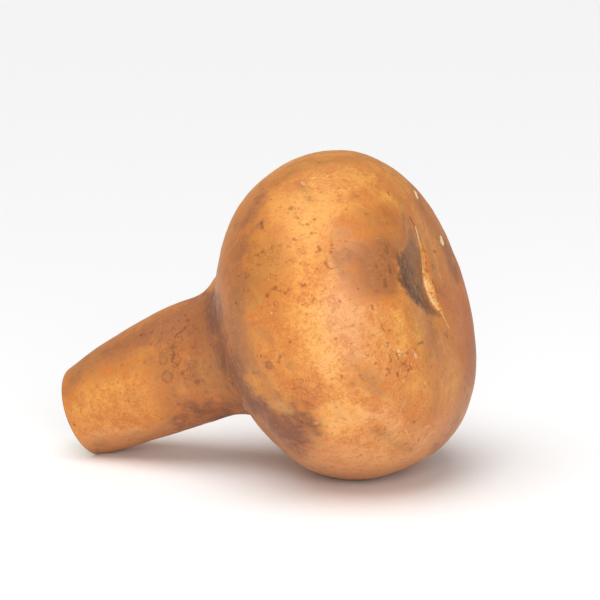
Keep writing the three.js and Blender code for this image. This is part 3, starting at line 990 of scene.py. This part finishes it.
def keepMasks(mesh, plan):
    for name, mask in stainAndLightMasks.items():
        keepOnMesh(mesh, name, mask)
    for name, (offset, near, relief) in markFields.items():
        keepOnMesh(mesh, name + "Offset", np.clip(offset, -plan["farthest"], plan["farthest"]))
        keepOnMesh(mesh, name + "Near", near)
    turn = flat(np.repeat(form["turns"][None], rowCount, 0))
    skin = flat(np.repeat(form["skin"][:, None], columnCount, 1))
    keepOnMesh(mesh, "skinPlace", roundPlace(skin, turn, plan["skinRadius"]))
    x = plain["side"] - plan["raysMeet"][0]
    y = plain["up"] - plan["raysMeet"][1]
    keepOnMesh(mesh, "scarPlace", roundPlace(np.hypot(x, y), np.arctan2(x, y), plan["rayRadius"]))
    keepOnMesh(mesh, "foldAway", np.abs(plain["along"] - gourdForm["foldAt"]))
    keepOnMesh(mesh, "faceOut", plain["out"])


gourd = buildGourd()
keepMasks(gourd.data, grainPlaces)
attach(gourd, "root")
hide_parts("gourd")
print("gourd built:", len(faces), "faces")


class Shade:
    # one socket of a material, so that sums of sockets read as plain Python
    def __init__(self, look, socket):
        self.look = look
        self.socket = socket

    def maths(self, kind, *values):
        return self.look.node("ShaderNodeMath", {"operation": kind}, dict(enumerate(values)))

    def __add__(self, other):
        return self.maths("ADD", self, other)

    def __sub__(self, other):
        return self.maths("SUBTRACT", self, other)

    def __rsub__(self, other):
        return self.maths("SUBTRACT", other, self)

    def __mul__(self, other):
        return self.maths("MULTIPLY", self, other)

    __radd__ = __add__
    __rmul__ = __mul__


class Look:
    # one material and the ways to add nodes to it
    def __init__(self, name):
        self.material = bpy.data.materials.new(name)
        self.material.use_nodes = True
        self.nodes = self.material.node_tree.nodes
        self.links = self.material.node_tree.links
        self.surface = self.nodes["Principled BSDF"]

    def node(self, kind, settings, sockets, output=0):
        made = self.nodes.new(kind)
        for name, value in settings.items():
            setattr(made, name, value)
        for name, value in sockets.items():
            self.fill(made.inputs[name], value)
        return Shade(self, made.outputs[output])

    def fill(self, socket, value):
        if isinstance(value, Shade):
            self.links.new(value.socket, socket)
        elif isinstance(value, tuple) and len(value) == 3 and socket.type == "RGBA":
            socket.default_value = (*value, 1)
        else:
            socket.default_value = value

    def kept(self, name, vector=False):
        # a value that the mesh keeps for each vertex
        return self.node("ShaderNodeAttribute", {"attribute_name": name}, {}, "Vector" if vector else "Fac")

    def vectors(self, kind, first, second):
        return self.node("ShaderNodeVectorMath", {"operation": kind}, {0: first, 1: second})

    def placeInMm(self):
        place = self.node("ShaderNodeNewGeometry", {}, {}, "Position")
        return self.vectors("MULTIPLY", place, (1 / mm, 1 / mm, 1 / mm))

    def grain(self, place, size, detail, rough, warp=0):
        # noise from 0 to 1, with features of about this size in the units of place
        sockets = {"Vector": place, "Scale": 1 / size, "Detail": detail, "Roughness": rough}
        return self.node("ShaderNodeTexNoise", {}, {**sockets, "Distortion": warp}, "Fac")

    def dots(self, place, perMm):
        # distance from the nearest of many scattered points, in shares of their spacing
        return self.node("ShaderNodeTexVoronoi", {}, {"Vector": place, "Scale": perMm}, "Distance")

    def length(self, vector):
        return self.node("ShaderNodeVectorMath", {"operation": "LENGTH"}, {0: vector}, "Value")

    def ease(self, value, low, high):
        # 0 below low, 1 above high, or the other way round when low is the larger
        sockets = {"Value": value, "From Min": low, "From Max": high}
        if low > high:
            sockets.update({"From Min": high, "From Max": low, "To Min": 1, "To Max": 0})
        return self.node("ShaderNodeMapRange", {"interpolation_type": "SMOOTHSTEP"}, sockets)

    def blend(self, first, second, share, kind="MIX"):
        settings = {"data_type": "RGBA", "blend_type": kind, "clamp_factor": True}
        return self.node("ShaderNodeMix", settings, {0: share, 6: first, 7: second}, 2)

    def tint(self, base, colour, share):
        # the base as it shows through thin staining, or darkened by painted shade
        return self.blend(base, colour, share, "MULTIPLY")

    def brokenUp(self, stainAndLight, ragged):
        # the strength of soft staining, painted shade or painted highlight, patchy towards its edge
        return self.ease(stainAndLight + ragged * self.ease(stainAndLight, 0, 0.4) * 3.6, 0.05, 0.95)

    def roughen(self, offset, place, size, by):
        # moves an offset about by noise, so that a mark's edge is ragged
        sockets = {"Vector": place, "Scale": 1 / size, "Detail": 2}
        wander = self.node("ShaderNodeTexNoise", {}, sockets, "Color")
        centred = self.vectors("SUBTRACT", wander, (0.5, 0.5, 0.5))
        scaled = self.node("ShaderNodeVectorMath", {"operation": "SCALE"}, {0: centred, "Scale": by})
        return self.vectors("ADD", offset, scaled)

    def bump(self, height, distance):
        return self.node("ShaderNodeBump", {}, {"Height": height, "Distance": distance})

    def finish(self, sockets):
        for name, value in sockets.items():
            self.fill(self.surface.inputs[name], value)
        return self.material


def tone(red, green, blue):
    # a colour as it is seen on a screen, from 0 to 255, as the shader wants it
    parts = [c / 255 for c in (red, green, blue)]
    return tuple(c / 12.92 if c <= 0.04045 else ((c + 0.055) / 1.055) ** 2.4 for c in parts)


rindLook = {
    "colours": {
        "amber": tone(212, 140, 64),
        "orange": tone(198, 118, 52),
        "gold": tone(234, 168, 78),
        "straw": tone(226, 180, 116),
        "flake": tone(248, 222, 168),
        # brown of real staining, also used for painted shade
        "umber": tone(148, 92, 56),
        # purple-brown of a real patch, also used for painted shade in the fold
        "plum": tone(124, 74, 52),
        # pale pink of the painted highlight and painted floor reflection
        "bloom": tone(222, 168, 128),
        "putty": tone(200, 148, 86),
        "charDark": tone(64, 38, 28),
        "charLight": tone(124, 82, 48),
        "bareDark": tone(92, 58, 36),
        "bareLight": tone(146, 98, 54),
        # thin stains, as the shares of red, green and blue that they let pass
        "brown": (0.72, 0.62, 0.62),
        # rusty tint, also painted shade on the bulb's right limb
        "rust": (0.84, 0.62, 0.5),
        "olive": (0.66, 0.66, 0.6),
        "mark": (0.46, 0.32, 0.36),
    },
    # size in mm, detail, roughness and warp of each grain
    "grains": {
        "broad": (34, 3, 0.5),
        "cloud": (11, 5, 0.6, 0.4),
        "mottle": (4.2, 5, 0.65),
        "speck": (1.25, 4, 0.7),
        "streak": (2.6, 4, 0.6),
        "rings": (1.5, 4, 0.6),
        "rays": (0.36, 4, 0.7),
    },
    # the place that a drawn out grain follows, and how much it is squeezed each way
    "drawnOut": {
        "streak": ("skinPlace", (0.12, 1, 1)),
        "rings": ("skinPlace", (1, 0.1, 0.1)),
        "rays": ("scarPlace", (0.04, 1, 1)),
    },
    "tints": {"rust": 0.8, "olive": 0.85},  # thin staining that the skin shows through, partly painted shade on the bulb's right limb
    "filmsAndPaintedLight": {"bloom": 0.36, "umber": 0.8, "plum": 0.88, "putty": 0.62},  # and those that cover it, with painted highlight and painted shade among them
    "frecklesPerMm": 0.2,
    "poresPerMm": 0.55,
    "bump": 0.00022,  # metres
}


def makeGrains(look, plan, place):
    grains = {}
    for name, settings in plan["grains"].items():
        over = place
        if name in plan["drawnOut"]:
            kept, squeeze = plan["drawnOut"][name]
            over = look.vectors("MULTIPLY", look.kept(kept, True), squeeze)
        grains[name] = look.grain(over, *settings)
    made = SimpleNamespace(**grains)
    made.fine = made.speck * 0.5 + made.mottle * 0.3 + made.streak * 0.2
    made.patchy = look.ease(made.cloud * 0.6 + made.broad * 0.4, 0.42, 0.58)
    return made


def skinStainsAndPaintedLight(look, plan, grain):
    # the skin's own colour, the soft staining on it, and painted shade and painted highlight
    colours = plan["colours"]
    ragged = grain.cloud * 0.35 + grain.mottle * 0.35 + grain.speck * 0.3 - 0.5
    warm = look.ease(grain.broad * 0.4 + grain.cloud * 0.6, 0.4, 0.6)
    base = look.blend(colours["orange"], colours["amber"], warm)
    base = look.blend(base, colours["gold"], look.brokenUp(look.kept("gold"), ragged) * 0.6)
    base = look.blend(base, colours["gold"], look.ease(grain.fine, 0.48, 0.62) * 0.4)
    for name, strong in plan["tints"].items():
        base = look.tint(base, colours[name], look.brokenUp(look.kept(name), ragged) * strong)
    for name, strong in plan["filmsAndPaintedLight"].items():
        base = look.blend(base, colours[name], look.brokenUp(look.kept(name), ragged) * strong)
    return base


def mottledSkin(look, plan, grain, base, place):
    # fine brown mottling, and soft freckles and pores that come in patches
    colours = plan["colours"]
    base = look.tint(base, colours["brown"], look.ease(grain.fine, 0.52, 0.4) * (0.3 + grain.patchy * 0.3))
    base = look.tint(base, colours["brown"], look.ease(grain.streak, 0.52, 0.72) * 0.4)
    loose = look.roughen(place, place, 1.6, 2.4)
    freckle = look.ease(look.dots(loose, plan["frecklesPerMm"]), 0.3, 0.08)
    base = look.tint(base, colours["mark"], freckle * grain.patchy * 0.4)
    pore = look.ease(look.dots(loose, plan["poresPerMm"]), 0.26, 0.1) * grain.patchy
    base = look.tint(base, colours["mark"], pore * 0.25)
    # rings in the fold at the neck's root
    foldNear = look.ease(look.kept("foldAway"), 16, 2)
    base = look.tint(base, colours["brown"], look.ease(grain.rings, 0.42, 0.7) * foldNear * 0.5)
    return base, pore, foldNear


def weatheredSkin(look, plan, grain, base):
    # the patch beside the crease, with streaks that run into the blossom scar
    colours = plan["colours"]
    rayShare = look.ease(grain.rays * 0.7 + grain.speck * 0.3, 0.4, 0.62)
    torn = (grain.mottle - 0.5) * 1.5 + (grain.speck - 0.5) * 1.7 + (grain.rays - 0.5) * 1
    bare = look.ease(look.kept("bare") + torn, 0.2, 0.95)
    base = look.blend(base, look.blend(colours["bareDark"], colours["bareLight"], rayShare), bare * 0.82)
    char = look.ease(look.kept("char") + torn, 0.3, 0.95)
    base = look.blend(base, look.blend(colours["charDark"], colours["charLight"], rayShare), char * 0.92)
    tan = look.ease(look.kept("tan") + torn, 0.25, 0.85)
    base = look.blend(base, look.blend(colours["gold"], colours["straw"], rayShare), tan * 0.85)
    scar = look.ease(look.kept("scar") + torn * 0.8, 0.35, 0.8)
    return look.blend(base, colours["flake"], scar * 0.9), bare, char


def markedSkin(look, plan, grain, base, place):
    # mould rings, pits and crusts, each with a ragged edge
    colours = plan["colours"]
    away = {name: look.length(look.roughen(look.kept(name + "Offset", True), place, size, by))
            for name, size, by in (("ring", 1.6, 0.7), ("pit", 0.9, 1.3), ("crust", 0.8, 1.6))}
    inside = look.ease(away["ring"], 1.15, 0.85) * look.kept("ringNear")
    rim = look.ease(away["ring"], 0.55, 0.85) * inside * look.ease(grain.mottle, 0.36, 0.5)
    base = look.blend(base, colours["umber"], inside * 0.25)
    base = look.tint(base, colours["mark"], rim * 0.65)
    pit = look.ease(away["pit"], 1.4, 0.4) * look.kept("pitNear")
    base = look.tint(base, colours["mark"], pit)
    crustNear = look.kept("crustNear")
    crust = look.ease(away["crust"], 1.3, 0.4) * crustNear
    base = look.tint(base, colours["mark"], look.ease(away["crust"], 2, 1.1) * crustNear * 0.35)
    flaky = look.ease(grain.mottle * 0.4 + grain.speck * 0.6, 0.34, 0.54)
    return look.blend(base, colours["flake"], crust * flaky), pit, crust


def rindMaterial(plan):
    look = Look("driedRind")
    place = look.placeInMm()
    grain = makeGrains(look, plan, place)
    base = skinStainsAndPaintedLight(look, plan, grain)
    base, pore, foldNear = mottledSkin(look, plan, grain, base, place)
    base, bare, char = weatheredSkin(look, plan, grain, base)
    base, pit, crust = markedSkin(look, plan, grain, base, place)
    height = grain.mottle * 0.35 + grain.speck * 0.25 + grain.streak * 0.25 - pore * 0.4
    height = height + bare * grain.rays * 1.4 + foldNear * grain.rings * 0.6
    return look.finish({
        "Base Color": base,
        "Roughness": 0.42 + grain.mottle * 0.14 + char * 0.16 + crust * 0.3 + pit * 0.12,
        "Specular IOR Level": 0.35,
        "Sheen Weight": 0.02,
        "Sheen Roughness": 0.4,
        "Normal": look.bump(height, plan["bump"]),
    })


sawnLook = {
    "shell": tone(206, 158, 104),
    "shellDark": tone(150, 100, 58),
    "skinEdge": tone(164, 92, 44),
    "pith": tone(236, 208, 164),
    "pithDark": tone(150, 118, 84),
    "fibre": 1.1,  # mm
    "patch": 6,
    "shellFrom": (22.2, 23.2),  # distance out from the middle of the sawn face
    "skinFrom": (26.7, 27.3),
    "bump": 0.0005,  # metres
}


def sawnMaterial(plan):
    look = Look("sawnEnd")
    place = look.placeInMm()
    out = look.kept("faceOut")
    fibre = look.grain(place, plan["fibre"], 4, 0.65)
    patch = look.grain(place, plan["patch"], 4, 0.6)
    shell = look.blend(plan["shell"], plan["shellDark"], look.ease(fibre, 0.42, 0.7) * 0.7)
    pith = look.blend(plan["pith"], plan["pithDark"], look.ease(patch, 0.45, 0.7) * 0.8)
    pith = look.blend(pith, plan["pithDark"], look.ease(fibre, 0.55, 0.75) * 0.5)
    base = look.blend(pith, shell, look.ease(out + fibre * 0.8, *plan["shellFrom"]))
    base = look.blend(base, plan["skinEdge"], look.ease(out + fibre * 0.5, *plan["skinFrom"]))
    return look.finish({
        "Base Color": base,
        "Roughness": 0.8 + fibre * 0.1,
        "Normal": look.bump(fibre * 0.6 + patch * 0.4, plan["bump"]),
    })


gourd.data.materials.append(rindMaterial(rindLook))
gourd.data.materials.append(sawnMaterial(sawnLook))
print("materials made")

# Floor, light and surroundings. Lengths are in metres and angles in degrees.
studio = {
    "floorSize": 80,
    "floorTone": (0.95, 0.95, 0.95),
    "floorRoughness": 0.9,
    "worldTone": (1, 1, 1),
    "worldStrength": 0.34,
    "worldSeen": 0.95,
    "aim": (0.02, 0, 0.09),
    "keyLight": {"azimuth": 26, "elevation": 16, "distance": 1.6, "size": 0.9, "watts": 12.8},
    "overheadLight": {"azimuth": 330, "elevation": 74, "distance": 2, "spread": 60, "strength": 2.1},
}


def makeFloor(setup):
    half = setup["floorSize"] / 2
    mesh = bpy.data.meshes.new("studioFloor")
    corners = [(-half, -half, 0), (half, -half, 0), (half, half, 0), (-half, half, 0)]
    mesh.from_pydata(corners, [], [(0, 1, 2, 3)])
    floor = bpy.data.objects.new("studioFloor", mesh)
    bpy.context.collection.objects.link(floor)
    sockets = {"Base Color": setup["floorTone"], "Roughness": setup["floorRoughness"]}
    mesh.materials.append(Look("studioFloor").finish(sockets))


def makeLights(setup):
    key = setup["keyLight"]
    softbox = bpy.data.lights.new("keyLight", "AREA")
    softbox.shape = "DISK"
    softbox.size = key["size"]
    softbox.energy = key["watts"]
    overhead = setup["overheadLight"]
    sky = bpy.data.lights.new("overheadLight", "SUN")
    sky.angle = math.radians(overhead["spread"])
    sky.energy = overhead["strength"]
    for data, at in ((softbox, key), (sky, overhead)):
        aim = Vector(setup["aim"])
        placeFacing(data.name, data, at["azimuth"], at["elevation"], at["distance"], aim)


def makeWorld(setup):
    # dim as a light, and as pale as the floor where it is seen behind it
    world = bpy.data.worlds.new("paleStudio")
    world.use_nodes = True
    nodes = world.node_tree.nodes
    links = world.node_tree.links
    background = nodes["Background"]
    background.inputs["Color"].default_value = (*setup["worldTone"], 1)
    seenDirectly = nodes.new("ShaderNodeLightPath").outputs["Is Camera Ray"]
    strength = nodes.new("ShaderNodeMapRange")
    strength.inputs["To Min"].default_value = setup["worldStrength"]
    strength.inputs["To Max"].default_value = setup["worldSeen"]
    links.new(seenDirectly, strength.inputs["Value"])
    links.new(strength.outputs["Result"], background.inputs["Strength"])
    bpy.context.scene.world = world


makeFloor(studio)
makeLights(studio)
makeWorld(studio)
bpy.context.scene.view_settings.view_transform = "Standard"
print("studio lit")
